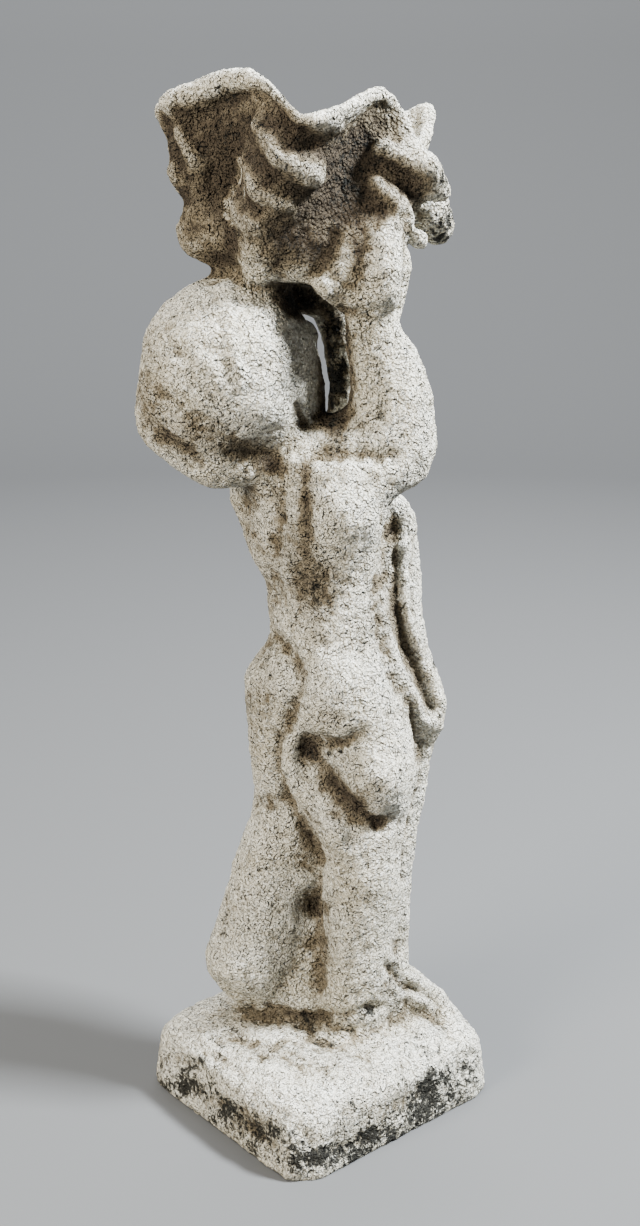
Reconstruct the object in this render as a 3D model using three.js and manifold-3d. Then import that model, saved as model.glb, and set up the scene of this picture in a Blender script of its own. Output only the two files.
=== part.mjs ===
// Garden statue: a cherub standing on a low block, holding a fluted clam shell over its head.
// One solid, cast in a single mould in reconstituted stone: block, figure, cloak and shell are fused.
// Units are millimetres. +Z is up, +X is the way the cherub faces, and the origin is under the
// middle of the block, on the ground.
import * as THREE from 'three';
import { mergeVertices } from 'three/addons/utils/BufferGeometryUtils.js';
import { SimplifyModifier } from 'three/addons/modifiers/SimplifyModifier.js';
import Module from 'manifold-3d';

// Driving dimensions
const BLOCK_LENGTH = 176;
const BLOCK_WIDTH = 168;
const BLOCK_HEIGHT = 50;
const BLOCK_CORNER_RADIUS = 24;
const BLOCK_TOP_RADIUS = 17;
const BLOCK_BATTER = 0.06;
const BLOCK_DOME = 8;
const FIGURE_HEIGHT = 484;
const SHELL_RADIUS = 86;
const SHELL_DEPTH = 116;
const SHELL_WALL = 11;
const SHELL_FLOOR = 26;
const LIP_BEVEL = 7;

// The figure is modelled as seen from over its right shoulder: x runs to the right across that
// view and y away from it. This turn sets it square on the block.
const STUDIO_TURN = THREE.MathUtils.degToRad(40.5);

// The carving is laid out for a figure this tall on a block this high, and scales with the figure.
const MODEL_HEIGHT = 484;
const MODEL_GROUND = 50;
const FIGURE_SCALE = FIGURE_HEIGHT / MODEL_HEIGHT;
const TOTAL_HEIGHT = BLOCK_HEIGHT + FIGURE_HEIGHT + SHELL_DEPTH;

// The shell sits on the head and hands. Its axis is a little behind the middle of the block.
const SHELL_AXIS = [-8 * FIGURE_SCALE, 2 * FIGURE_SCALE];
const SHELL_FOOT = BLOCK_HEIGHT + FIGURE_HEIGHT;

// The cast surface is cut into facets: the size of a cell, then the number of triangles kept.
const CELL = TOTAL_HEIGHT / 185;
const TRIANGLES = 9000;

const { sin, cos, abs, min, max, hypot, atan2, PI } = Math;
const radians = THREE.MathUtils.degToRad;
const smoothstep = THREE.MathUtils.smoothstep;
const lerp = THREE.MathUtils.lerp;

// Each form is a function that gives the distance from a point to its surface, below 0 inside.

const ball = ([cx, cy, cz], r) => (x, y, z) => hypot(x - cx, y - cy, z - cz) - r;

// An egg: radii along the way the body faces, across it, and up.
const egg = ([cx, cy, cz], [ahead, across, up], yaw = STUDIO_TURN, pitch = 0) => {
  const [c, s, cp, sp] = [cos(yaw), sin(yaw), cos(pitch), sin(pitch)];
  return (x, y, z) => {
    const [dx, dy, dz] = [x - cx, y - cy, z - cz];
    const level = c * dx + s * dy;
    const u = cp * level + sp * dz;
    const v = -s * dx + c * dy;
    const w = -sp * level + cp * dz;
    const near = hypot(u / ahead, v / across, w / up);
    const slope = hypot(u / ahead ** 2, v / across ** 2, w / up ** 2);
    return slope < 1e-9 ? -min(ahead, across, up) : (near * (near - 1)) / slope;
  };
};

// A tapering limb, fold or ridge through points [x, y, z, radius].
const limb = (...points) => (x, y, z) => {
  let nearest = Infinity;
  for (let i = 1; i < points.length; i++) {
    const [ax, ay, az, ar] = points[i - 1];
    const [bx, by, bz, br] = points[i];
    const [ux, uy, uz] = [bx - ax, by - ay, bz - az];
    const along = ((x - ax) * ux + (y - ay) * uy + (z - az) * uz) / (ux * ux + uy * uy + uz * uz);
    const t = min(1, max(0, along));
    const d = hypot(x - ax - t * ux, y - ay - t * uy, z - az - t * uz) - lerp(ar, br, t);
    nearest = min(nearest, d);
  }
  return nearest;
};

// Joins two forms with a fillet about as wide as k.
const soften = (a, b, k) => {
  const h = max(k - abs(a - b), 0) / k;
  return min(a, b) - (h * h * k) / 4;
};
const join = (k, ...forms) => (x, y, z) =>
  forms.reduce((d, form) => soften(d, form(x, y, z), k), 1e3);
const carve = (k, body, ...cutters) => (x, y, z) =>
  cutters.reduce((d, cutter) => -soften(-d, cutter(x, y, z), k), body(x, y, z));

// The block: a rounded rectangle with battered sides and a worn, slightly domed top.
function block() {
  const [c, s] = [cos(STUDIO_TURN), sin(STUDIO_TURN)];
  return (x, y, z) => {
    const inset = BLOCK_BATTER * z;
    const px = abs(c * x + s * y) - (BLOCK_LENGTH / 2 - inset - BLOCK_CORNER_RADIUS);
    const py = abs(-s * x + c * y) - (BLOCK_WIDTH / 2 - inset - BLOCK_CORNER_RADIUS);
    const side = hypot(max(px, 0), max(py, 0)) + min(max(px, py), 0) - BLOCK_CORNER_RADIUS;
    const top = z - BLOCK_HEIGHT - BLOCK_DOME + (BLOCK_DOME * 2.5 * hypot(x, y)) / BLOCK_LENGTH;
    const worn = hypot(max(side + BLOCK_TOP_RADIUS, 0), max(top + BLOCK_TOP_RADIUS, 0));
    const rounded = worn + min(max(side, top) + BLOCK_TOP_RADIUS, 0) - BLOCK_TOP_RADIUS;
    return max(rounded, -6 - z);
  };
}

// The figure's landmarks are laid out on an upright plane through the middle of the block, as they
// line up for an eye standing back from it. A landmark moves along its sight line to its own depth.
const EYE_BACK = 930;
const EYE_HEIGHT = 590;
const at = (x, z, depth = 0, r = 0) => {
  const scale = 1 + depth / EYE_BACK;
  return [x * scale, depth, EYE_HEIGHT + (z - EYE_HEIGHT) * scale, r * scale];
};
// The depth at which the sight line through a landmark meets a form.
const meet = (form, x, z) => {
  let depth = -125;
  while (depth < 70) {
    const [px, py, pz] = at(x, z, depth);
    const d = form(px, py, pz);
    if (d < 0.2) return depth;
    depth += max(0.5, 0.6 * d);
  }
  return 0;
};
// A fold or groove that follows the surface of a form through landmarks [x, z, radius].
const trace = (form, sunk, ...stations) =>
  limb(...stations.map(([x, z, r]) => at(x, z, meet(form, x, z) + sunk, r)));

// Legs: the right one stands, the left one trails with its heel off the ground.
function legs() {
  const rightThigh = limb(at(22, 268, -18, 33), at(34, 228, -20, 28), at(32, 196, -18, 25));
  const rightCalf = limb(at(28, 186, -18, 25), at(28, 150, -16, 26), at(24, 112, -14, 23),
    at(22, 62, -12, 22));
  const rightFoot = limb(at(22, 66, -12, 20), at(44, 60, 6, 16), at(64, 56, 24, 11));
  const knuckle = egg(at(38, 222, -34), [18, 20, 26]);
  const leftThigh = limb(at(-20, 262, 8, 27), at(-19, 228, 12, 25), at(-17, 204, 16, 24));
  const leftCalf = limb(at(-20, 190, 14, 24), at(-31, 160, 8, 26), at(-37, 126, 4, 28), at(-44, 100, 2, 30));
  const heel = egg(at(-50, 90, -4), [26, 24, 18], 0.2);
  const leftFoot = limb(at(-44, 82, 2, 24), at(-14, 62, 28, 20), at(0, 56, 38, 14));
  const web = limb(at(-2, 196, 8, 20), at(-6, 160, 12, 18), at(-8, 110, 8, 20), at(-10, 60, 6, 26));
  return join(8, rightThigh, rightCalf, rightFoot, knuckle, leftThigh, leftCalf, heel, leftFoot, web);
}

function trunk() {
  const hips = egg(at(2, 284), [38, 46, 42]);
  const waist = egg(at(2, 336), [32, 38, 56]);
  const belly = egg(at(14, 314, 12), [32, 34, 40]);
  const chest = egg(at(-8, 388), [36, 45, 46]);
  const rightFlank = limb(at(12, 396, -20, 25), at(10, 352, -14, 25), at(16, 320, -14, 26));
  const shoulderBlade = egg(at(16, 396, -30), [26, 20, 24], 0);
  const leftButtock = egg(at(-25, 282, 4), [24, 23, 28]);
  const rightButtock = egg(at(16, 281, -20), [32, 30, 38]);
  const bust = join(10, hips, waist, belly, chest, rightFlank, shoulderBlade);
  const seat = join(4, leftButtock, rightButtock);
  const body = join(8, bust, seat);
  const spine = trace(body, -3, [-23, 414, 5], [-26, 392, 5], [-31, 362, 5], [-30, 330, 5], [-26, 312, 5],
    [-16, 298, 4.5], [-13, 284, 4.5], [-18, 268, 4.5], [-22, 250, 4.5]);
  return carve(6, body, spine);
}

function arms() {
  const rightUpper = limb(at(0, 424, -14, 25), at(24, 436, -12, 24), at(43, 433, -12, 27));
  const rightFore = limb(at(45, 446, -14, 25), at(44, 462, -14, 25.5), at(39.5, 480, -16, 22.5),
    at(31, 501, -24, 17), at(28, 518, -32, 14));
  const ledge = limb(at(-4, 414, -34, 9), at(20, 415, -38, 9), at(44, 414, -28, 9));
  const leftUpper = limb(at(-30, 408, 26, 26), at(6, 430, 50, 20), at(22, 438, 58, 19));
  const leftFore = limb(at(22, 440, 58, 18), at(21, 472, 54, 15.5), at(15, 505, 48, 14), at(2, 526, 42, 13));
  return join(8, rightUpper, rightFore, ledge, leftUpper, leftFore);
}

function hands() {
  const rightHand = join(4, egg(at(37, 543, -46), [12, 14, 29], 0), egg(at(21, 542, -43), [10, 13, 27], 0),
    egg(at(11, 541, -42), [10, 11, 22], 0), ball(at(3.5, 530, -46), 8),
    egg(at(27, 523, -38), [20, 14, 12], 0), limb(at(46, 530, -8, 7), at(44, 512, -10, 5)));
  const leftHand = join(4, egg(at(-8, 532, 40), [18, 16, 20], 0), ball(at(8, 536, 40), 12));
  return join(4, rightHand, leftHand);
}

// The head leans back under the shell. The face, on the far side, has plain even proportions.
function head() {
  const skull = egg(at(-54, 482, -12), [54, 50, 54]);
  const hair = egg(at(-79, 457, -16), [31, 34, 32]);
  const cheek = egg(at(-26, 468, 0), [27, 30, 34]);
  const nape = limb(at(-88, 450, -18, 17), at(-72, 430, -24, 17), at(-63, 423, -24, 15),
    at(-40, 428, -16, 16));
  const neck = limb(at(-14, 418, 0, 30), at(-32, 446, -4, 28));
  const crown = limb(at(-38, 525, -12, 20), at(-34, 545, -12, 22));
  const cranium = join(9, skull, hair, cheek, nape, neck, crown);
  const faceAt = ([ahead, left, up], r) => {
    const [c, s] = [cos(STUDIO_TURN), sin(STUDIO_TURN)];
    const [x, y, z] = at(-52, 480, -6);
    return [x + c * ahead - s * left, y + s * ahead + c * left, z + up, r];
  };
  const features = join(4, limb(faceAt([46, 0, 6], 4), faceAt([53, 0, -7], 5)), ball(faceAt([53, 0, -9]), 6),
    egg(faceAt([47, 0, -21]), [7, 10, 3.5]), egg(faceAt([45, 0, -27]), [7, 8, 3.5]),
    egg(faceAt([42, 0, -38]), [10, 12, 9]), egg(faceAt([39, 20, -16]), [12, 13, 13]),
    egg(faceAt([39, -20, -16]), [12, 13, 13]), egg(faceAt([42, 0, 20]), [10, 28, 12]));
  const sockets = [-1, 1].map((side) => ball(faceAt([53, 15 * side, 3]), 7));
  const eyes = [-1, 1].map((side) => ball(faceAt([43, 15 * side, 2]), 5.5));
  const seam = trace(cranium, -2.5, [-55, 528, 3], [-54, 505, 3.2], [-50, 480, 4], [-46, 462, 4.5]);
  const ear = trace(cranium, -1.5, [-51, 470, 4], [-46, 462, 5]);
  const dimple = trace(cranium, -1.5, [-13, 458, 3.5], [-10, 448, 4]);
  const underLock = trace(cranium, -2, [-44, 434, 5], [-32, 428, 5.5], [-24, 420, 5]);
  return join(2, carve(5, join(5, cranium, features), ...sockets, seam, ear, dimple, underLock), ...eyes);
}

// The clam shell: a deep cup. Its ribs lean as they rise and run out into a waved lip, and each
// carries a few thick scutes. Rises are shares of the shell's depth.
// Degrees round from the viewer's side at the foot and at the lip, lip there, crest after it:
const SHELL_RIBS = [
  [-66, -84, 0.86, 1.0], [-42, 13, 0.78, 0.93], [52, 78, 0.48, 0.62], [104, 122, 0.9, 0.84],
  [150, 158, 0.72, 0.78], [204, 214, 0.72, 0.82],
];
function shell() {
  const [cx, cy] = SHELL_AXIS;
  const count = SHELL_RIBS.length;
  const ribAngle = (n, rise) => {
    const [foot, lip] = SHELL_RIBS[(n + count) % count];
    return radians(lerp(foot, lip, rise) + 360 * Math.floor(n / count));
  };
  // The height of the lip and the reach of the outer wall, at an angle and a rise.
  const wall = (angle, rise) => {
    const turned = angle < ribAngle(0, rise) ? angle + 2 * PI : angle;
    let n = 0;
    while (n < count - 1 && turned >= ribAngle(n + 1, rise)) n++;
    const t = (turned - ribAngle(n, rise)) / (ribAngle(n + 1, rise) - ribAngle(n, rise));
    const wave = (1 - cos(2 * PI * t)) / 2;
    const here = SHELL_RIBS[n];
    const next = SHELL_RIBS[(n + 1) % count];
    const share = lerp(lerp(here[2], next[2], smoothstep(t, 0, 1)), here[3], Math.pow(wave, 0.6));
    const flare = 0.07 * smoothstep(rise - share, -0.18, -0.05);
    const trough = wave * lerp(0.08, 0.28, min(1, rise * 1.7));
    const outer = SHELL_RADIUS * (0.56 + 0.46 * Math.pow(rise, 0.55) - trough + flare);
    return [SHELL_FOOT + SHELL_DEPTH * share, outer];
  };
  const cup = (x, y, z) => {
    const [dx, dy] = [x - cx, y - cy];
    const r = hypot(dx, dy);
    const [lip, outer] = wall(atan2(dx, -dy), min(1.1, max(0, (z - SHELL_FOOT) / SHELL_DEPTH)));
    const floor = SHELL_FOOT + SHELL_FLOOR + (r * r) / 4 / SHELL_RADIUS;
    const inside = max(r - (outer - SHELL_WALL), floor - z);
    const bevel = 0.8 * max(0, r - outer + LIP_BEVEL);
    const lipEdge = z - lip + 0.15 * max(0, outer - r) + bevel;
    const side = -soften((outer - r) * 0.75, -lipEdge * 0.75, 4);
    return max(side, SHELL_FOOT - z, -inside * 0.75);
  };
  // A scute stands off the wall: degrees round, stand and radius as shares of the shell's radius.
  const round = ([degrees, stand, rise, r]) => {
    const angle = radians(degrees);
    const reach = wall(angle > PI ? angle - 2 * PI : angle, rise)[1] + SHELL_RADIUS * stand;
    const height = SHELL_FOOT + SHELL_DEPTH * rise;
    return [cx + reach * sin(angle), cy - reach * cos(angle), height, SHELL_RADIUS * r];
  };
  const ridge = (...stations) => limb(...stations.map(round));
  const scutes = [
    ridge([-22, 0.02, 0.73, 0.05], [-9, 0.06, 0.58, 0.07], [5, 0.05, 0.5, 0.075]),
    ridge([-31, 0.02, 0.57, 0.045], [-21, 0.05, 0.43, 0.06], [-8, 0.04, 0.37, 0.055]),
    ridge([-42, 0.02, 0.45, 0.04], [-37, 0.04, 0.33, 0.055], [-23, 0.03, 0.27, 0.045]),
    ridge([-66, 0, 0.84, 0.04], [-64, 0.02, 0.68, 0.045], [-61, 0.03, 0.55, 0.05]),
    ridge([-74, 0.02, 0.52, 0.06], [-84, -0.02, 0.47, 0.08]),
    ridge([-48, -0.1, 0.19, 0.15], [-72, -0.06, 0.24, 0.2], [-92, -0.04, 0.24, 0.18]),
    ridge([40, 0.06, 0.63, 0.06], [56, 0.05, 0.56, 0.08], [70, 0.1, 0.43, 0.08]),
    ridge([37, 0.06, 0.48, 0.05], [45, 0.08, 0.37, 0.07], [60, 0.12, 0.2, 0.07]),
    ridge([70, -0.1, 0.16, 0.15], [76, 0.05, 0.07, 0.12]),
    ridge([88, 0.18, 0.36, 0.17], [95, 0.22, 0.25, 0.13]),
    ridge([144, 0.04, 0.6, 0.06], [154, 0.06, 0.48, 0.08], [166, 0.04, 0.52, 0.06]),
    ridge([142, 0.04, 0.34, 0.06], [152, 0.06, 0.24, 0.08], [164, 0.04, 0.28, 0.06]),
    ridge([198, 0.04, 0.58, 0.06], [209, 0.06, 0.48, 0.08], [220, 0.04, 0.52, 0.06]),
    ridge([194, 0.04, 0.34, 0.06], [204, 0.06, 0.24, 0.08], [216, 0.04, 0.28, 0.06]),
    ridge([244, 0.04, 0.66, 0.06], [252, 0.06, 0.52, 0.08], [262, 0.05, 0.4, 0.07]),
  ];
  const pits = [
    ridge([-47, 0.02, 0.5, 0.06], [-50, 0.02, 0.36, 0.06]),
    ridge([46, 0.03, 0.29, 0.05], [56, 0.06, 0.28, 0.05]),
  ];
  return carve(4, join(0.07 * SHELL_RADIUS, cup, ...scutes), ...pits);
}

// The cloak hangs from the right arm down to the block, in front of the right leg.
function cloak(body) {
  const rim = limb(at(51, 392, 2, 8), at(54, 372, 4, 6.5), at(55.5, 345, 6, 6.5), at(58, 325, 6, 6.5),
    at(63, 305, 4, 6), at(69, 288, 2, 6), at(74, 275, 0, 6), at(75, 265, 0, 6), at(70, 254, 0, 7));
  const inner = limb(at(38, 345, -14, 5), at(44, 305, -16, 5.5), at(58, 275, -14, 5.5), at(67, 259, -8, 6));
  const channel = limb(at(45, 374, -1, 9), at(49, 335, -1, 10), at(55, 305, -1, 9), at(63, 278, -2, 7));
  const sheet = limb(at(40, 392, 14, 17), at(42, 340, 18, 18), at(48, 300, 18, 20), at(56, 268, 12, 18));
  const fall = limb(at(62, 256, 2, 11), at(59, 230, 2, 11.5), at(56, 208, 2, 12), at(49, 180, 0, 12),
    at(45, 150, -2, 12), at(38, 108, 0, 11), at(38, 84, 4, 13));
  const spread = limb(at(40, 84, 2, 12), at(54, 70, 10, 13), at(74, 58, 14, 12), at(86, 50, 16, 9));
  const pleatLines = [[46, 92, 52, 66, -12], [52, 88, 68, 62, -4], [58, 84, 82, 58, 6]];
  const pleats = pleatLines.map(([ax, az, bx, bz, depth]) =>
    limb(at(ax, az, depth + 7, 5), at(bx, bz, depth + 3, 6)));
  const folds = [0, 1, 2, 3].map((n) => limb(at(26 + 9 * n, 394 - 4 * n, 34 - 8 * n, 7),
    at(30 + 9 * n, 330, 40 - 8 * n, 7), at(36 + 9 * n, 266 - 3 * n, 30 - 7 * n, 6)));
  const hem = [0, 1, 2].map((n) => limb(at(50 + 6 * n, 252, 18 - 8 * n, 6),
    at(44 + 5 * n, 170, 14 - 7 * n, 6), at(34 + 8 * n, 80, 20 - 8 * n, 8)));
  const band = trace(body, 2, [-19, 248, 5], [-19, 232, 6.5], [-14, 216, 8], [-7, 203, 9], [2, 191, 10],
    [12, 181, 10], [18, 172, 8]);
  return join(5, rim, inner, channel, sheet, fall, spread, ...folds, ...hem, ...pleats, band);
}

// Scales the figure and stands it on the block.
const stand = (form) => (x, y, z) =>
  FIGURE_SCALE * form(x / FIGURE_SCALE, y / FIGURE_SCALE, (z - BLOCK_HEIGHT) / FIGURE_SCALE + MODEL_GROUND);

function statue() {
  const body = join(8, legs(), trunk());
  const hollow = trace(body, -4.5, [-8, 243, 7], [4, 240, 8], [13, 232, 7]);
  const pit = trace(body, 0, [-5, 136, 6], [-2, 126, 6]);
  const armpit = limb(at(42, 388, -24, 7), at(46, 368, -16, 4));
  const draped = join(5, carve(5, body, hollow, pit), cloak(body));
  const figure = join(3, carve(5, join(8, draped, arms(), head()), armpit), hands());
  return join(4, stand(figure), shell(), block());
}

// Visits the points of a grid, layer by layer.
function sweep(start, end, step, visit) {
  for (let k = start[2]; k < end[2]; k += step) {
    for (let j = start[1]; j < end[1]; j += step) {
      for (let i = start[0]; i < end[0]; i += step) {
        visit(i, j, k);
      }
    }
  }
}

// Meshes the surface where the distance is 0, by cutting each cell of a grid into six tetrahedra.
function skin(distance, low, high, cell) {
  const [nx, ny, nz] = [0, 1, 2].map((a) => Math.ceil((high[a] - low[a]) / cell) + 1);
  const slot = (i, j, k) => i + nx * (j + ny * k);
  const measure = (i, j, k) => distance(low[0] + i * cell, low[1] + j * cell, low[2] + k * cell);

  // A cube of cells that lies well away from the surface is measured once, at its middle.
  const values = new Float32Array(nx * ny * nz).fill(1);
  const CUBE = 4;
  sweep([0, 0, 0], [nx, ny, nz], CUBE, (i0, j0, k0) => {
    const half = (CUBE - 1) / 2;
    const middle = measure(i0 + half, j0 + half, k0 + half);
    const far = abs(middle) > CUBE * cell * 1.6;
    const end = [min(i0 + CUBE, nx), min(j0 + CUBE, ny), min(k0 + CUBE, nz)];
    sweep([i0, j0, k0], end, 1, (i, j, k) => {
      const d = far ? middle : measure(i, j, k);
      values[slot(i, j, k)] = d === 0 ? 1e-5 : d;
    });
  });

  const positions = [];
  const made = new Map();
  const offset = (code) => (code & 1) + nx * ((code >> 1) & 1) + nx * ny * ((code >> 2) & 1);
  const crossing = (origin, a, b) => {
    const [lo, hi] = a < b ? [a, b] : [b, a];
    const start = origin + offset(lo);
    const key = start * 8 + (hi ^ lo);
    if (made.has(key)) return made.get(key);
    const [va, vb] = [values[start], values[origin + offset(hi)]];
    const t = min(0.97, max(0.03, va / (va - vb)));
    const code = hi ^ lo;
    const i = start % nx;
    const j = Math.floor(start / nx) % ny;
    const k = Math.floor(start / (nx * ny));
    positions.push(low[0] + (i + t * (code & 1)) * cell, low[1] + (j + t * ((code >> 1) & 1)) * cell,
      low[2] + (k + t * ((code >> 2) & 1)) * cell);
    made.set(key, positions.length / 3 - 1);
    return positions.length / 3 - 1;
  };
  const orders = [[0, 1, 2], [1, 2, 0], [2, 0, 1], [0, 2, 1], [2, 1, 0], [1, 0, 2]];
  const index = [];
  const isOdd = (list) => list.reduce(
    (count, v, n) => count + list.slice(n + 1).filter((w) => w < v).length, 0) % 2 === 1;
  const corners = [0, 1, 2, 3, 4, 5, 6, 7];
  sweep([0, 0, 0], [nx - 1, ny - 1, nz - 1], 1, (i, j, k) => {
    const origin = slot(i, j, k);
    const within = corners.filter((code) => values[origin + offset(code)] < 0).length;
    if (within === 0 || within === 8) return;
    orders.forEach(([a, b], turn) => {
      const codes = [0, 1 << a, (1 << a) | (1 << b), 7];
      const inside = [0, 1, 2, 3].filter((n) => values[origin + offset(codes[n])] < 0);
      const outside = [0, 1, 2, 3].filter((n) => !inside.includes(n));
      if (!inside.length || !outside.length) return;
      const few = outside.length === 1 ? outside : inside;
      const many = outside.length === 1 ? inside : outside;
      const flip = isOdd([...few, ...many]) !== (turn > 2) !== (outside.length === 1);
      const cut = (p, q) => crossing(origin, codes[p], codes[q]);
      const faces = [];
      if (few.length === 1) {
        faces.push(many.map((n) => cut(few[0], n)));
      } else {
        const [p, q] = few;
        const [r, s] = many;
        faces.push([cut(p, r), cut(p, s), cut(q, s)], [cut(p, r), cut(q, s), cut(q, r)]);
      }
      for (const [u, v, w] of faces) {
        index.push(u, flip ? w : v, flip ? v : w);
      }
    });
  });

  const geometry = new THREE.BufferGeometry();
  geometry.setAttribute('position', new THREE.Float32BufferAttribute(positions, 3));
  geometry.setIndex(index);
  return geometry;
}

const reach = 1.1 * max(BLOCK_LENGTH / 2 + BLOCK_WIDTH / 4, SHELL_RADIUS * 1.1 + 10, 125 * FIGURE_SCALE);
const low = [-reach, -reach, -6 - 3 * CELL];
const high = [reach, reach, TOTAL_HEIGHT + 3 * CELL];
const fine = skin(statue(), low, high, CELL);
const extra = Math.max(0, fine.getAttribute('position').count - TRIANGLES / 2);
const light = await new SimplifyModifier().modify(fine, extra);
light.rotateZ(-STUDIO_TURN);

const wasm = await Module();
wasm.setup();
const toSolid = (geometry) => {
  const bare = geometry.clone();
  bare.deleteAttribute('normal');
  bare.deleteAttribute('uv');
  const merged = mergeVertices(bare);
  return new wasm.Manifold(new wasm.Mesh({
    numProp: 3,
    vertProperties: new Float32Array(merged.getAttribute('position').array),
    triVerts: new Uint32Array(merged.getIndex().array),
  }));
};
const ground = new THREE.BoxGeometry(2 * BLOCK_LENGTH, 2 * BLOCK_WIDTH, 40);
ground.translate(0, 0, -20);
const cut = toSolid(light).subtract(toSolid(ground)).getMesh();
const geometry = new THREE.BufferGeometry();
geometry.setAttribute('position', new THREE.BufferAttribute(new Float32Array(cut.vertProperties), 3));
geometry.setIndex(new THREE.BufferAttribute(new Uint32Array(cut.triVerts), 1));

const stone = new THREE.MeshStandardMaterial({ color: 0xb9b2a3, roughness: 0.95, metalness: 0 });
const cherub = new THREE.Mesh(geometry, stone);
cherub.name = 'cherub_with_shell';
const group = new THREE.Group();
group.add(cherub);
export default group;
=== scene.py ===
import math

import bpy
import numpy as np
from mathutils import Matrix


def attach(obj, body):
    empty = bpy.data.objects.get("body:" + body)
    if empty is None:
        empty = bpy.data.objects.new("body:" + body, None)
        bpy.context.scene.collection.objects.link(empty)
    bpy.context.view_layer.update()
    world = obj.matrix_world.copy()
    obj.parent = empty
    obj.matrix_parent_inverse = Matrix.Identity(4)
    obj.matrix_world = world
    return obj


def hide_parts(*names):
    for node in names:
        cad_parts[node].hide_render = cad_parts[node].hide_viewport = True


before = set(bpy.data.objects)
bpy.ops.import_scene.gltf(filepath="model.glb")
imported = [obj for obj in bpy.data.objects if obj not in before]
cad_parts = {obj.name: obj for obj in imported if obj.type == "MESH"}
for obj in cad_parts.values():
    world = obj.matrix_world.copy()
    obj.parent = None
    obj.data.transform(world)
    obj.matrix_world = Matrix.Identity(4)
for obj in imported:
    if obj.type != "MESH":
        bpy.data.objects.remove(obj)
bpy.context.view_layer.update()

# The photographer's place. The camera stands behind the cherub's right shoulder, a little under a
# metre away and level with the shell, and looks down at the block.
EYE_BACK = 0.930
EYE_HEIGHT = 0.590
STATUE_TURN = math.radians(40.5)
EYE_TILT = math.radians(15.6)
LENS = 45.51

bpy.ops.object.select_all(action="DESELECT")
bpy.ops.object.camera_add(
    location=(-EYE_BACK * math.sin(STATUE_TURN), -EYE_BACK * math.cos(STATUE_TURN), EYE_HEIGHT),
    rotation=(math.radians(90) - EYE_TILT, 0, -STATUE_TURN),
)
camera = bpy.context.object
camera.name = "camera"
camera.data.lens = LENS
camera.data.clip_start = 0.01
bpy.context.scene.camera = camera


# The studio. A grey paper floor that curves up into a wall all round, a window light from above and
# to the right, a soft top light, a warm fill from the left, and a lamp that brightens the far wall.
FLOOR_RADIUS = 2.3
SWEEP_RADIUS = 0.9
SWEEP_STEPS = 12
WALL_TOP = 2.8
FLOOR_SIDES = 96
PAPER_GREY = (0.085, 0.087, 0.09)


def simple_material(name, color, roughness):
    material = bpy.data.materials.new(name)
    material.use_nodes = True
    shader = material.node_tree.nodes["Principled BSDF"]
    shader.inputs["Base Color"].default_value = (*color, 1)
    shader.inputs["Roughness"].default_value = roughness
    return material


profile = [(0.0, 0.0), (0.5, 0.0), (FLOOR_RADIUS, 0.0)]
for step in range(1, SWEEP_STEPS + 1):
    angle = math.radians(90 * step / SWEEP_STEPS)
    profile.append((FLOOR_RADIUS + SWEEP_RADIUS * math.sin(angle), SWEEP_RADIUS * (1 - math.cos(angle))))
profile.append((FLOOR_RADIUS + SWEEP_RADIUS, WALL_TOP))
paper = bpy.data.meshes.new("grey paper")
paper.from_pydata([(x, 0, z) for x, z in profile], [(n, n + 1) for n in range(len(profile) - 1)], [])
floor = bpy.data.objects.new("floor", paper)
bpy.context.scene.collection.objects.link(floor)
bpy.ops.object.select_all(action="DESELECT")
floor.select_set(True)
bpy.context.view_layer.objects.active = floor
bpy.ops.object.modifier_add(type="SCREW")
floor.modifiers[0].steps = FLOOR_SIDES
floor.modifiers[0].render_steps = FLOOR_SIDES
floor.modifiers[0].use_merge_vertices = True
floor.modifiers[0].use_normal_flip = True
bpy.ops.object.modifier_apply(modifier=floor.modifiers[0].name)
bpy.ops.object.shade_smooth()
paper.materials.append(simple_material("grey paper", PAPER_GREY, 0.9))


def softbox(name, place, aim, width, power, color):
    bpy.ops.object.light_add(type="AREA", location=place)
    light = bpy.context.object
    light.name = name
    light.data.shape = "SQUARE"
    light.data.size = width
    light.data.energy = power
    light.data.color = color
    x, y, z = (a - p for a, p in zip(aim, place))
    level = math.hypot(x, y)
    light.rotation_euler = (math.radians(90) + math.atan2(z, level), 0, math.atan2(y, x) - math.radians(90))


def seen(across, away, up):
    """A place in the room, as the camera sees it: across to the right, away from it, and up."""
    turn = STATUE_TURN
    return (
        across * math.cos(turn) + away * math.sin(turn),
        -across * math.sin(turn) + away * math.cos(turn),
        up,
    )


softbox("window light", seen(1.25, -0.3, 1.75), seen(0, 0, 0.4), 0.3, 290, (0.94, 0.98, 1.0))
softbox("top light", seen(-0.3, -0.2, 2.2), seen(0, 0, 0.4), 0.5, 28, (0.99, 0.99, 0.97))
softbox("fill light", seen(-1.2, -1.2, 1.0), seen(0, 0, 0.3), 0.6, 78, (1.0, 0.93, 0.80))
softbox("wall light", seen(0, 1.1, 2.6), seen(0, 3.2, 0.9), 1.2, 190, (0.97, 0.985, 1.0))
world = bpy.data.worlds.new("pale room")
bpy.context.scene.world = world
world.use_nodes = True
world.node_tree.nodes["Background"].inputs["Color"].default_value = (0.60, 0.63, 0.66, 1)
world.node_tree.nodes["Background"].inputs["Strength"].default_value = 0.10

# The casting: block, cherub, cloak and shell, poured in one piece in sandy reconstituted stone.
# Its skin is worked up from the solid: the facets are melted away, then folds, locks, scutes and
# hollows are tooled in, and then the sand grain is raised.
SKIN_CELL = 0.0018
SKIN_PASSES = 12
SKIN_TRIANGLES = 190000

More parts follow.
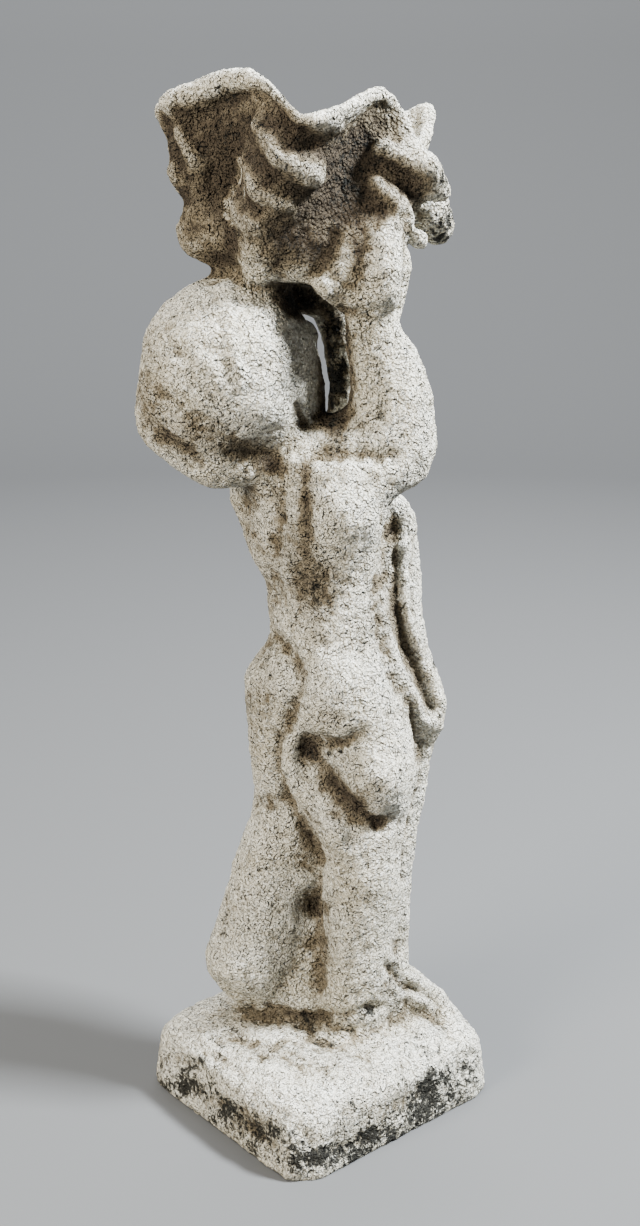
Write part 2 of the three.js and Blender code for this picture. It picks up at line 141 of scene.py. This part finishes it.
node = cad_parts["cherub_with_shell"]
casting = bpy.data.objects.new("cherub_casting", node.data.copy())
bpy.context.scene.collection.objects.link(casting)
bpy.ops.object.select_all(action="DESELECT")
casting.select_set(True)
bpy.context.view_layer.objects.active = casting
casting.data.materials.clear()
bpy.ops.object.mode_set(mode="EDIT")
bpy.ops.mesh.select_all(action="SELECT")
bpy.ops.mesh.remove_doubles(threshold=0.00001)
bpy.ops.mesh.select_all(action="DESELECT")
bpy.ops.object.mode_set(mode="OBJECT")
for edge in casting.data.edges:
    edge.select = all(casting.data.vertices[v].co.z < 0.0001 for v in edge.vertices)
bpy.ops.object.mode_set(mode="EDIT")
bpy.ops.transform.edge_crease(value=1.0)
bpy.ops.object.mode_set(mode="OBJECT")

# Three lumps pressed into the hollow below the buttock, which the solid leaves deeper than the stone's:
# where each one is, as the camera sees it, and its half sizes across, away and up.
HOLLOW_LUMPS = [
    ((-0.007, -0.010, 0.231), (0.011, 0.011, 0.026)),
    ((0.001, -0.015, 0.227), (0.010, 0.013, 0.028)),
    ((0.008, -0.020, 0.222), (0.010, 0.014, 0.026)),
]
for middle, size in HOLLOW_LUMPS:
    bpy.ops.mesh.primitive_uv_sphere_add(location=seen(*middle), rotation=(0, 0, -STATUE_TURN), scale=size)
    casting.select_set(True)
    bpy.context.view_layer.objects.active = casting
    bpy.ops.object.join()


def apply_modifier(kind, **settings):
    bpy.ops.object.modifier_add(type=kind)
    modifier = bpy.context.object.modifiers[-1]
    for key, value in settings.items():
        setattr(modifier, key, value)
    bpy.ops.object.modifier_apply(modifier=modifier.name)


apply_modifier("SUBSURF", levels=1, render_levels=1)
apply_modifier("REMESH", mode="VOXEL", voxel_size=SKIN_CELL, adaptivity=0)
apply_modifier("SMOOTH", factor=0.5, iterations=SKIN_PASSES)


def points_of(mesh):
    flat = np.empty(len(mesh.vertices) * 3, np.float32)
    mesh.vertices.foreach_get("co", flat)
    return flat.reshape(-1, 3).astype(float)


def normals_of(mesh):
    flat = np.empty(len(mesh.vertices) * 3, np.float32)
    mesh.vertex_normals.foreach_get("vector", flat)
    return flat.reshape(-1, 3).astype(float)


def set_points(mesh, points):
    mesh.vertices.foreach_set("co", points.astype(np.float32).ravel())
    mesh.update()


EYE_BACK_MM = EYE_BACK * 1000
EYE_HEIGHT_MM = EYE_HEIGHT * 1000


def picture_plane(points):
    """Where each point lines up, in millimetres, on an upright plane through the block's middle."""
    turn = STATUE_TURN
    across = (points[:, 0] * math.cos(turn) - points[:, 1] * math.sin(turn)) * 1000
    away = (points[:, 0] * math.sin(turn) + points[:, 1] * math.cos(turn)) * 1000
    scale = EYE_BACK_MM / (EYE_BACK_MM + away)
    return across * scale, EYE_HEIGHT_MM + (points[:, 2] * 1000 - EYE_HEIGHT_MM) * scale, away


# What is in sight is found on a grid of square cells, in millimetres. A point up to IN_SIGHT behind
# the nearest one in its cell still counts as seen.
SIGHT_CELL = 4.0
SIGHT_CELLS = 200
SIGHT_LEFT = 200
IN_SIGHT = 14


def facing(points, normals, grazing=0.3):
    """1 where the surface faces the camera and nothing stands in front of it, 0 elsewhere."""
    across, up, away = picture_plane(points)
    eye = np.array(seen(0, -EYE_BACK, EYE_HEIGHT))
    look = eye - points
    look /= np.linalg.norm(look, axis=1, keepdims=True)
    turned = np.clip((look * normals).sum(1) / grazing, 0, 1)
    column = np.clip(((across + SIGHT_LEFT) / SIGHT_CELL).astype(int), 0, SIGHT_CELLS - 1)
    row = np.clip((up / SIGHT_CELL).astype(int), 0, SIGHT_CELLS - 1)
    nearest = np.full((SIGHT_CELLS, SIGHT_CELLS), 1e9)
    np.minimum.at(nearest, (column, row), away)
    return turned * (away < nearest[column, row] + IN_SIGHT)


def distance_to_path(across, up, path):
    """The distance in the picture plane from each point to a path of [across, up] places."""
    best = np.full(len(across), 1e9)
    path = [np.array(p, float) for p in path]
    if len(path) == 1:
        path = path * 2
    for a, b in zip(path[:-1], path[1:]):
        span = b - a
        length = max(float(span @ span), 1e-9)
        t = np.clip(((across - a[0]) * span[0] + (up - a[1]) * span[1]) / length, 0, 1)
        best = np.minimum(best, np.hypot(across - a[0] - t * span[0], up - a[1] - t * span[1]))
    return best


# Tool strokes for the side seen, in millimetres on the picture plane: how far each lifts (or sinks)
# the skin, how wide it is, and its path of (across, up) places.
SHELL_STROKES = [
    (
        1.5,
        5,
        [(-88, 635), (-74, 635), (-56, 646), (-40, 650), (-26, 645), (-12, 633), (-2, 624), (10, 620)],
    ),
    (-4, 5, [(-83, 623), (-70, 623), (-50, 634), (-33, 637), (-14, 620), (-2, 609)]),
    (-2, 4.5, [(12, 607), (24, 621), (36, 631), (47, 624)]),
    (2.5, 3, [(-88, 630), (-82, 617), (-76, 604), (-73, 599)]),
    (-6, 7, [(-28, 628), (-18, 616)]),
    (-3, 9, [(-75, 562)]),
    (-2, 5, [(-62, 592), (-60, 584)]),
    (-3, 4, [(52, 571), (56, 569)]),
    (-3, 4, [(8, 558), (3, 548), (-2, 538)]),
    (-2, 6, [(-70, 548), (-56, 542), (-48, 536)]),
]
HAND_STROKES = [
    (2.5, 8, [(38, 556), (39, 540), (37, 530)]),
    (-0.7, 4, [(22, 560), (23, 545), (19, 530), (15, 520)]),
    (1.5, 4, [(14, 552), (11, 538)]),
    (3, 5, [(3, 531), (6, 526)]),
    (-2.5, 3.5, [(14, 514), (28, 513), (40, 517)]),
]
HEAD_STROKES = [
    (3.2, 4.5, [(-55, 528), (-54, 505), (-50, 484), (-47, 474)]),
    (2, 4.5, [(-50, 470), (-46, 462)]),
    (-3.5, 3.5, [(-13, 459), (-10, 449)]),
    (2, 14, [(-32, 500)]),
    (2.5, 10, [(-30, 455)]),
    (-1.8, 4, [(-88, 494), (-66, 476)]),
    (-1.8, 4, [(-82, 478), (-60, 461)]),
    (-1.8, 4, [(-98, 470), (-76, 450)]),
    (-1.8, 4, [(-72, 454), (-52, 443)]),
    (-1.5, 3.5, [(-68, 494), (-55, 483)]),
    (-2.5, 5, [(-96, 441), (-82, 434), (-76, 426)]),
    (1.8, 6, [(-90, 452), (-74, 437), (-62, 428)]),
    (-2.5, 5, [(-24, 540), (-21, 530)]),
]
BACK_STROKES = [
    (3, 4.5, [(-16, 424), (-16, 408), (-15, 394)]),
    (-1.5, 5, [(-8, 422), (-8, 400), (-9, 372)]),
    (2.5, 5, [(-3, 420), (20, 421), (50, 421)]),
    (-2.5, 4, [(-2, 430), (20, 430), (44, 429)]),
    (-2.5, 3, [(36, 424)]),
    (-2.5, 3, [(45, 423)]),
    (-3, 5, [(40, 394), (46, 380), (49, 364)]),
    (-1.5, 7, [(-22, 414), (-25, 395), (-30, 378), (-32, 358), (-31, 338), (-30, 322)]),
    (-3.5, 4.5, [(-28, 314), (-17, 300), (-13, 289), (-14, 279), (-18, 269), (-22, 250)]),
    (2.5, 6, [(-24, 326), (-12, 312), (-2, 298)]),
    (-2.5, 11, [(4, 352), (6, 336)]),
    (3.5, 11, [(8, 404), (14, 392)]),
    (3, 16, [(16, 288)]),
    (-2, 7, [(-42, 398), (-42, 372)]),
    (-2, 5, [(-8, 249), (2, 243), (14, 243), (28, 250)]),
]
CLOAK_STROKES = [
    (4, 3, [(51, 372), (53, 335), (57, 318), (63, 302), (69, 288), (74, 274)]),
    (-3, 3, [(47, 368), (48, 335), (52, 316), (58, 299), (64, 284), (68, 272)]),
    (3.5, 3, [(38, 342), (41, 318), (48, 295), (58, 275), (67, 260)]),
    (-2, 4, [(36, 350), (38, 325), (42, 300), (50, 280)]),
    (2.5, 5, [(76, 270), (74, 258)]),
    (-4, 4, [(67, 264)]),
    (-3.5, 3.5, [(66, 244), (63, 218), (57, 194), (52, 174), (54, 150)]),
    (-2.5, 3, [(60, 378), (57, 355), (58, 330)]),
]
LEG_STROKES = [
    (-3, 6, [(22, 190), (35, 186), (50, 190)]),
    (-2, 6, [(-42, 204), (-32, 203), (-23, 206)]),
    (-4, 3.5, [(-27, 248), (-28, 228), (-23, 208), (-14, 190), (-6, 176), (2, 162)]),
    (3.5, 5, [(-19, 246), (-18, 230), (-12, 212), (0, 195), (14, 181)]),
    (-4, 5, [(-8, 242), (6, 219), (19, 203), (39, 185)]),
    (-2, 4, [(6, 240), (16, 245), (24, 250)]),
    (-3, 5, [(-3, 130)]),
    (3.5, 6, [(-10, 150)]),
    (-2, 9, [(0, 122), (0, 100), (0, 74)]),
    (-3.5, 5, [(-68, 72), (-56, 62), (-45, 57)]),
    (2, 10, [(-38, 170)]),
    (3, 11, [(34, 150)]),
    (3, 14, [(38, 222)]),
    (-2, 8, [(20, 176)]),
]
BLOCK_STROKES = [
    (2.5, 3.5, [(47, 92), (58, 78), (80, 66)]),
    (-3.5, 3, [(45, 86), (56, 73), (76, 62)]),
    (-5, 4.5, [(34, 54)]),
    (-3, 4, [(2, 50), (16, 49), (30, 51), (42, 56)]),
    (-2.5, 4, [(-34, 56), (-18, 52), (-4, 50)]),
    (-2, 5, [(-84, 28), (-60, 10), (-30, -8)]),
    (-2.5, 6, [(60, 16), (88, 34)]),
    (2, 7, [(-30, 8), (-22, -30), (-18, -70)]),
    (-3, 6, [(-88, -6), (-70, -20)]),
    (-3, 5, [(-46, -40), (-34, -52)]),
    (-3, 6, [(12, -56), (30, -46)]),
    (-3, 7, [(56, -20), (72, -8)]),
    (-2.5, 5, [(96, 10), (104, 20)]),
    (2, 6, [(-50, -16), (-40, -26)]),
    (2, 7, [(36, -14), (48, -4)]),
    (-3, 4, [(-70, 30), (-58, 34), (-46, 30)]),
    (-2.5, 4, [(-6, 34), (8, 26), (24, 30)]),
    (2, 6, [(-20, 24), (0, 14), (20, 12)]),
    (-2.5, 5, [(-96, 16), (-84, 8)]),
    (-2.5, 4, [(70, 50), (82, 44), (92, 34)]),
    (-2, 4, [(-30, -22), (-16, -34), (-6, -50)]),
]


def even_out(mesh, values, passes):
    """Each point's value drawn towards its neighbours' mean, some passes over."""
    edges = np.empty(len(mesh.edges) * 2, np.int32)
    mesh.edges.foreach_get("vertices", edges)
    a, b = edges.reshape(-1, 2).T
    count = np.maximum(np.bincount(np.r_[a, b], minlength=len(values)), 1)[:, None]
    smooth = values.copy()
    for _ in range(passes):
        total = [np.bincount(a, v[b], len(v)) + np.bincount(b, v[a], len(v)) for v in smooth.T]
        smooth = 0.4 * smooth + 0.6 * np.array(total).T / count
    return smooth


STROKE_EDGE = 0.9
DEEPEST_CUT = -8
HIGHEST_LIFT = 5


def tool(mesh, strokes):
    """Lifts and sinks the side seen along the strokes, with soft edges and even directions."""
    points = points_of(mesh)
    normals = normals_of(mesh)
    across, up, away = picture_plane(points)
    seen_side = facing(points, normals)
    depth = np.zeros(len(points))
    for lift, width, path in strokes:
        reach = distance_to_path(across, up, path) / width
        depth += lift * np.exp(-(reach**2) * STROKE_EDGE)
    depth *= even_out(mesh, seen_side[:, None], 3)[:, 0]
    way = even_out(mesh, normals, 8)
    way /= np.maximum(np.linalg.norm(way, axis=1, keepdims=True), 0.3)
    moves = way * (np.clip(depth, DEEPEST_CUT, HIGHEST_LIFT) * 0.001)[:, None]
    set_points(mesh, points + even_out(mesh, moves, 1))


def patches(across, up, list_of_patches):
    """0 to 1 for each point: how strongly soft round patches cover it on the picture plane."""
    total = np.zeros(len(across))
    for strength, wide, high, (x, z) in list_of_patches:
        total += strength * np.exp(-(((across - x) / wide) ** 2) - ((up - z) / high) ** 2)
    return np.clip(total, 0, 1)


def soften(mesh, passes, places):
    """Draws the skin towards its own smoothed form at the given places."""
    points = points_of(mesh)
    across, up, away = picture_plane(points)
    amount = patches(across, up, places) * facing(points, even_out(mesh, normals_of(mesh), 20))
    smooth = even_out(mesh, points, passes)
    set_points(mesh, points + (smooth - points) * even_out(mesh, amount[:, None], 4))


# Softened patches: how strongly, how wide and how high in millimetres, and the (across, up) middle.
SOFT_LEG = [(1.3, 15, 26, (2, 224)), (1.0, 12, 12, (14, 210))]
SOFT_HAND_AND_SHELL = [
    (1.3, 22, 30, (26, 550)),
    (1.0, 16, 14, (-74, 562)),
    (0.9, 12, 10, (24, 574)),
    (1.0, 8, 26, (16, 545)),
]
SOFT_PASSES = 60

mesh = casting.data
soften(mesh, SOFT_PASSES, SOFT_LEG)
soften(mesh, SOFT_PASSES, SOFT_HAND_AND_SHELL)
tool(mesh, SHELL_STROKES)
tool(mesh, HAND_STROKES)
tool(mesh, HEAD_STROKES)
tool(mesh, BACK_STROKES)
tool(mesh, CLOAK_STROKES)
tool(mesh, LEG_STROKES)
tool(mesh, BLOCK_STROKES)
apply_modifier("SMOOTH", factor=0.4, iterations=1)


# The worn sandy surface: broad unevenness from the mould, then pits where sand has dropped out.
def roughen(name, size, strength):
    texture = bpy.data.textures.new(name, "CLOUDS")
    texture.noise_scale = size
    apply_modifier("DISPLACE", texture=texture, texture_coords="LOCAL", strength=strength, mid_level=0.5)


roughen("mould unevenness", 0.022, 0.0026)
roughen("worn lumps", 0.009, 0.0016)
roughen("dropped sand", 0.004, 0.0016)
apply_modifier("DECIMATE", ratio=SKIN_TRIANGLES / sum(len(p.vertices) - 2 for p in mesh.polygons))

# The underside is flat again, so that the block stands on the floor.
UNDERSIDE = 0.004
points = points_of(mesh)
normals = normals_of(mesh)
under = (points[:, 2] < UNDERSIDE) & (normals[:, 2] < -0.6)
points[under, 2] = 0
points[:, 2] = np.maximum(points[:, 2], 0)
set_points(mesh, points)
bpy.ops.object.shade_smooth()


# Weathering and painted shade. Soot and earth gather in hollows and under ledges, painted shade
# darkens the same places, rain bleaches what faces up, and black lichen grows low on the block and
# on the damp side of the shell.
def relief(mesh, points, normals, passes):
    """How deep each point lies below the smoothed skin, in millimetres: above 0 in a hollow."""
    return ((even_out(mesh, points, passes) - points) * normals).sum(1) * 1000


# Painted patches on the side seen: how strong, how wide and how high in millimetres, and the
# (across, up) middle. The earth patches are partly painted shade: on the shell's underside, under the
# head and in the hollow below the buttock. The recesses between head and arm get painted shade,
# dark whichever way their sides face.
EARTH_AND_SHADE = [
    (0.7, 60, 34, (-24, 588)), (0.5, 34, 26, (34, 588)), (0.5, 5, 20, (22, 543)),
    # The hollow below the buttock, from (-6, 240) to (36, 190), and the head's underside at (-88, 446) and
    # (-78, 440) are painted shade along with dirt.
    (1.0, 20, 34, (-76, 588)), (0.8, 7, 7, (-6, 240)), (0.8, 8, 9, (6, 219)), (0.8, 12, 9, (21, 203)),
    (0.6, 10, 6, (36, 190)), (0.4, 10, 4, (14, 245)), (0.4, 16, 16, (-88, 446)),
    (1.0, 34, 20, (-52, 612)), (1.0, 18, 26, (-64, 584)), (1.0, 28, 16, (-30, 568)),
    (0.9, 20, 12, (-66, 556)), (0.9, 26, 12, (-14, 550)), (0.9, 10, 26, (-88, 600)),
    (0.8, 14, 14, (-18, 604)), (0.5, 26, 26, (22, 592)), (0.5, 26, 12, (-78, 440)),
    (0.4, 20, 8, (-50, 434)), (0.9, 9, 6, (-31, 423)), (0.5, 9, 26, (-106, 462)),
    (0.35, 12, 30, (-98, 502)), (0.35, 14, 38, (-42, 385)), (0.35, 9, 30, (-38, 335)),
    (0.45, 16, 34, (-40, 280)), (0.6, 6, 28, (-9, 396)), (0.45, 9, 26, (-17, 376)),
    (0.6, 15, 24, (-4, 347)), (0.35, 16, 12, (30, 208)), (0.3, 14, 14, (2, 262)),
    (0.35, 7, 36, (45, 330)), (0.3, 7, 24, (57, 292)), (0.5, 8, 12, (44, 384)),
    # (2.5, 7, 36, (9, 482)) and (2.5, 10, 8, (-12, 521)) are painted shade in the recesses between head and
    # arm.
    (0.35, 14, 30, (30, 330)), (0.4, 4, 32, (21, 488)), (2.5, 7, 36, (9, 482)),
    (2.5, 10, 8, (-12, 521)), (0.5, 10, 8, (8, 452)), (1.0, 9, 9, (-22, 622)),
    (1.0, 14, 20, (-74, 560)), (0.9, 6, 7, (-2, 131)), (0.35, 9, 30, (6, 98)), (0.7, 14, 8, (58, 588)),
    (0.8, 8, 5, (-12, 422)), (0.25, 14, 9, (-30, 205)), (0.35, 40, 10, (-40, 24)),
    (0.3, 30, 10, (10, 14)), (0.5, 7, 20, (-8, 176)), (0.4, 30, 8, (-20, 50)), (0.5, 14, 8, (40, 70)),
    (0.25, 14, 20, (-60, 120)), (0.4, 26, 18, (-46, -30)), (0.3, 30, 20, (30, -20)),
]
# Painted shade, near black, in the recesses between head and arm.
RECESS_SHADE = [(1.6, 9, 7, (-12, 522)), (1.2, 7, 30, (8, 486))]
# Black lichen patches, and painted shade with them on the shell's underside and in the recesses between
# head and arm.
LICHEN_AND_SHADE = [
    (1.0, 18, 9, (14, -58)), (1.0, 20, 10, (40, -42)), (1.0, 20, 12, (66, -24)),
    (0.9, 16, 12, (88, -2)), (0.8, 10, 10, (76, -2)), (0.7, 8, 8, (100, 8)), (0.9, 16, 14, (-34, -40)),
    (0.8, 14, 12, (-12, -60)), (1.0, 18, 9, (-90, -4)), (0.9, 14, 10, (-62, -24)),
    (0.6, 16, 8, (-84, 12)), (0.5, 16, 10, (70, 26)), (0.7, 14, 6, (-52, 56)), (0.9, 7, 6, (33, 53)),
    (0.6, 7, 20, (50, 68)), (0.4, 40, 8, (0, 46)), (0.8, 7, 26, (75, 594)), (1.0, 10, 12, (70, 562)),
    (1.0, 8, 9, (58, 540)), (0.4, 16, 10, (0, 30)), (0.5, 14, 22, (-4, 345)), (0.4, 10, 10, (66, 300)),
    # (1.5, 7, 36, (9, 482)) and (1.5, 10, 8, (-12, 521)) are painted shade in the recesses between head and
    # arm.
    (0.5, 10, 14, (-70, 600)), (0.55, 12, 12, (-92, 455)), (1.5, 7, 36, (9, 482)),
    (1.5, 10, 8, (-12, 521)), (0.5, 20, 16, (-48, 624)), (0.4, 12, 20, (-62, 110)),
    (0.5, 12, 8, (46, 402)), (0.6, 20, 26, (20, 600)), (0.35, 8, 20, (-18, 372)),
    (0.4, 14, 10, (4, 236)), (0.45, 20, 14, (-60, 448)), (0.4, 20, 10, (-30, 562)),
]
CRACKS = [
    (1.0, 16, 7, (30, 499)), (1.0, 10, 6, (29, 454)), (1.0, 14, 8, (-22, 640)), (1.0, 6, 8, (14, 622)),
    (1.0, 12, 7, (-55, 36)), (1.0, 9, 9, (-73, 23)), (1.0, 8, 14, (77, 42)), (0.8, 8, 16, (66, 170)),
]

# How far from the block's middle a recess gets painted shade in millimetres, how many passes show
# fine and broad relief, and the heights in metres that bound the weathering and painted shade of
# the hidden sides.
RECESS_SHADE_DEPTH = 34
FINE_PASSES = 6
BROAD_PASSES = 60
DAMP_HEIGHT = 0.045
CLEAR_OF_BLOCK = 0.06
SHELL_FOOT = 0.54

points = points_of(mesh)
normals = normals_of(mesh)
across, up, away = picture_plane(points)
seen_side = facing(points, even_out(mesh, normals, FINE_PASSES), 0.08)
fine = relief(mesh, points, normals, FINE_PASSES)
broad = relief(mesh, points, normals, BROAD_PASSES)
height = points[:, 2]
hidden = 1 - seen_side
# Painted shade in the recesses between head and arm, near the block's middle.
recess_shade = patches(across, up, RECESS_SHADE) * (np.abs(away) < RECESS_SHADE_DEPTH)
# Hollows, broad and fine, darker: earth in them and painted shade together.
earth_and_shade = 0.3 * np.clip(broad / 4, 0, 1) + 0.25 * np.clip(fine / 0.4, 0, 1)
# Hidden sides that face down, clear of the block, darker: painted shade under ledges, with dirt.
earth_and_shade += hidden * 0.35 * np.clip(-normals[:, 2], 0, 1) * (height > CLEAR_OF_BLOCK)
earth_and_shade += seen_side * patches(across, up, EARTH_AND_SHADE) * (1 - 0.6 * np.clip(-broad / 2.4, 0, 1)) + recess_shade
bleach = np.clip(normals[:, 2] * 0.8 + 0.2, 0, 1) * np.clip(-broad / 3 + 0.6, 0, 1)
low = np.clip((DAMP_HEIGHT - height) / 0.04, 0, 1)
lichen_and_shade = low * (0.4 + 0.3 * hidden)
lichen_and_shade += hidden * 0.3 * (height > SHELL_FOOT) * np.clip(0.4 - normals[:, 2], 0, 1)
lichen_and_shade += seen_side * patches(across, up, LICHEN_AND_SHADE)
cracked = seen_side * patches(across, up, CRACKS)
# The weathering attribute holds earth with painted shade, lichen with painted shade, bleaching and cracks.
layer = mesh.color_attributes.new("weathering_and_shade", "FLOAT_COLOR", "POINT")
values = np.c_[np.clip(earth_and_shade, 0, 1), np.clip(lichen_and_shade, 0, 1), bleach, cracked]
layer.data.foreach_set("color", values.astype(np.float32).ravel())

# The stone itself: sandy, a little warmer in some places than in others, with dark between its grains.
WARM_STONE = (0.60, 0.55, 0.43)
PALE_STONE = (0.72, 0.69, 0.59)
RAIN_BLEACHED = (0.84, 0.85, 0.80)
DUST = (0.38, 0.33, 0.23)
LUMP_SHADE = (0.25, 0.215, 0.15)
PIT_SHADE = (0.11, 0.09, 0.06)
GRAIN_SHADE = (0.27, 0.235, 0.16)
BRIGHT_SAND = (0.90, 0.90, 0.84)
# Earth brown and soot black stand for dirt and also paint shade in hollows, under ledges and in recesses.
EARTH_AND_SHADE_BROWN = (0.125, 0.097, 0.058)
SOOT_AND_SHADE_BLACK = (0.035, 0.026, 0.018)
# Lichen black also paints shade in the recesses between head and arm.
LICHEN_AND_SHADE_BLACK = (0.014, 0.014, 0.012)
CRACK_SHADE = (0.02, 0.018, 0.014)

stone = bpy.data.materials.new("weathered cast stone and painted shade")
stone.use_nodes = True
tree = stone.node_tree
shader = tree.nodes["Principled BSDF"]
shader.inputs["Specular IOR Level"].default_value = 0.12


def add(kind, **values):
    made = tree.nodes.new(kind)
    for key, value in values.items():
        if hasattr(made, key):
            setattr(made, key, value)
        else:
            made.inputs[key.replace("_", " ")].default_value = value
    return made


def wire(source, target):
    tree.links.new(source, target)


def math_node(operation, a, b):
    made = add("ShaderNodeMath", operation=operation)
    for socket, value in zip(made.inputs, (a, b)):
        if isinstance(value, (int, float)):
            socket.default_value = value
        else:
            wire(value, socket)
    return made.outputs[0]


def noise(scale, detail, roughness=0.55):
    made = add("ShaderNodeTexNoise", Scale=scale, Detail=detail, Roughness=roughness)
    wire(place.outputs["Object"], made.inputs["Vector"])
    return made.outputs["Fac"]


def band(value, low, high):
    """0 below low, 1 above high, and smooth between."""
    made = add("ShaderNodeMapRange", interpolation_type="SMOOTHSTEP")
    made.inputs["From Min"].default_value = low
    made.inputs["From Max"].default_value = high
    wire(value, made.inputs["Value"])
    return made.outputs["Result"]


def blend_colors(fac, a, b):
    made = add("ShaderNodeMix", data_type="RGBA")
    wire(fac, made.inputs["Factor"])
    sockets = [s for s in made.inputs if s.type == "RGBA"]
    for socket, value in zip(sockets, (a, b)):
        if isinstance(value, tuple):
            socket.default_value = (*value, 1)
        else:
            wire(value, socket)
    return [s for s in made.outputs if s.type == "RGBA"][0]


def tinted(color, amount, strength, shade):
    return blend_colors(math_node("MULTIPLY", amount, strength), color, shade)


place = add("ShaderNodeTexCoord")
painted = add("ShaderNodeAttribute", attribute_name="weathering_and_shade")
parts = add("ShaderNodeSeparateColor")
wire(painted.outputs["Color"], parts.inputs["Color"])
earth_and_shade_amount, lichen_and_shade_amount, bleach_amount = parts.outputs[0], parts.outputs[1], parts.outputs[2]

cloudy = noise(16, 5)
mottled = noise(70, 5, 0.65)
lumps = noise(150, 4, 0.6)
sand = noise(460, 3, 0.6)
pits = noise(230, 4, 0.65)
grains = add("ShaderNodeTexVoronoi", feature="F1", Scale=560)
wire(place.outputs["Object"], grains.inputs["Vector"])

color = blend_colors(band(cloudy, 0.35, 0.65), WARM_STONE, PALE_STONE)
color = tinted(color, bleach_amount, 0.6, RAIN_BLEACHED)
color = tinted(color, band(mottled, 0.48, 0.72), 0.5, DUST)
color = tinted(color, band(lumps, 0.52, 0.68), 0.42, LUMP_SHADE)
color = tinted(color, band(pits, 0.57, 0.64), 0.6, PIT_SHADE)
color = tinted(color, band(grains.outputs["Distance"], 0.36, 0.62), 0.34, GRAIN_SHADE)
color = tinted(color, band(sand, 0.5, 0.64), 0.6, BRIGHT_SAND)
# Earth and painted shade: brown, then soot black where they are heaviest.
soiled_and_shaded = math_node("MULTIPLY", earth_and_shade_amount, math_node("ADD", 0.4, math_node("MULTIPLY", mottled, 1.2)))
color = tinted(color, band(soiled_and_shaded, 0.0, 0.6), 0.92, EARTH_AND_SHADE_BROWN)
color = tinted(color, band(soiled_and_shaded, 0.5, 1.05), 0.9, SOOT_AND_SHADE_BLACK)
# Black lichen speckle, solid where painted shade fills the recesses.
fine_spots = math_node("MULTIPLY", noise(260, 5, 0.8), 0.6)
spots = math_node("ADD", math_node("MULTIPLY", mottled, 0.4), fine_spots)
speckle_and_shade = math_node("ADD", spots, math_node("MULTIPLY", lichen_and_shade_amount, 0.14))
color = tinted(color, band(speckle_and_shade, 0.57, 0.65), 0.97, LICHEN_AND_SHADE_BLACK)

# Hairline cracks where the casting has been strained or chipped: wavering cell edges.
wander = add("ShaderNodeVectorMath", operation="MULTIPLY_ADD")
wander.inputs[1].default_value = (0.02, 0.02, 0.02)
stir = add("ShaderNodeTexNoise", Scale=60, Detail=4)
wire(place.outputs["Object"], stir.inputs["Vector"])
wire(stir.outputs["Color"], wander.inputs[0])
wire(place.outputs["Object"], wander.inputs[2])
cells = add("ShaderNodeTexVoronoi", feature="DISTANCE_TO_EDGE", Scale=38)
wire(wander.outputs["Vector"], cells.inputs["Vector"])
crack = math_node("SUBTRACT", 1.0, band(cells.outputs["Distance"], 0.004, 0.022))
crack = math_node("MULTIPLY", crack, band(painted.outputs["Alpha"], 0.25, 0.6))
color = tinted(color, crack, 0.9, CRACK_SHADE)
wire(color, shader.inputs["Base Color"])
wire(math_node("ADD", 0.85, math_node("MULTIPLY", sand, 0.15)), shader.inputs["Roughness"])

# The finest relief, too small for the mesh: grains and pits first, then lumps over them.
fine_bump = add("ShaderNodeBump", Strength=1.0, Distance=0.008)
grain = math_node("SUBTRACT", math_node("MULTIPLY", sand, 0.6), math_node("MULTIPLY", pits, 0.9))
grain = math_node("SUBTRACT", grain, math_node("MULTIPLY", grains.outputs["Distance"], 0.4))
wire(math_node("SUBTRACT", grain, math_node("MULTIPLY", crack, 0.5)), fine_bump.inputs["Height"])
lump_bump = add("ShaderNodeBump", Strength=1.0, Distance=0.007)
unevenness = math_node("ADD", math_node("MULTIPLY", lumps, -1.0), math_node("MULTIPLY", mottled, -0.6))
wire(unevenness, lump_bump.inputs["Height"])
wire(fine_bump.outputs["Normal"], lump_bump.inputs["Normal"])
wire(lump_bump.outputs["Normal"], shader.inputs["Normal"])

mesh.materials.append(stone)
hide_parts("cherub_with_shell")
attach(casting, "root")
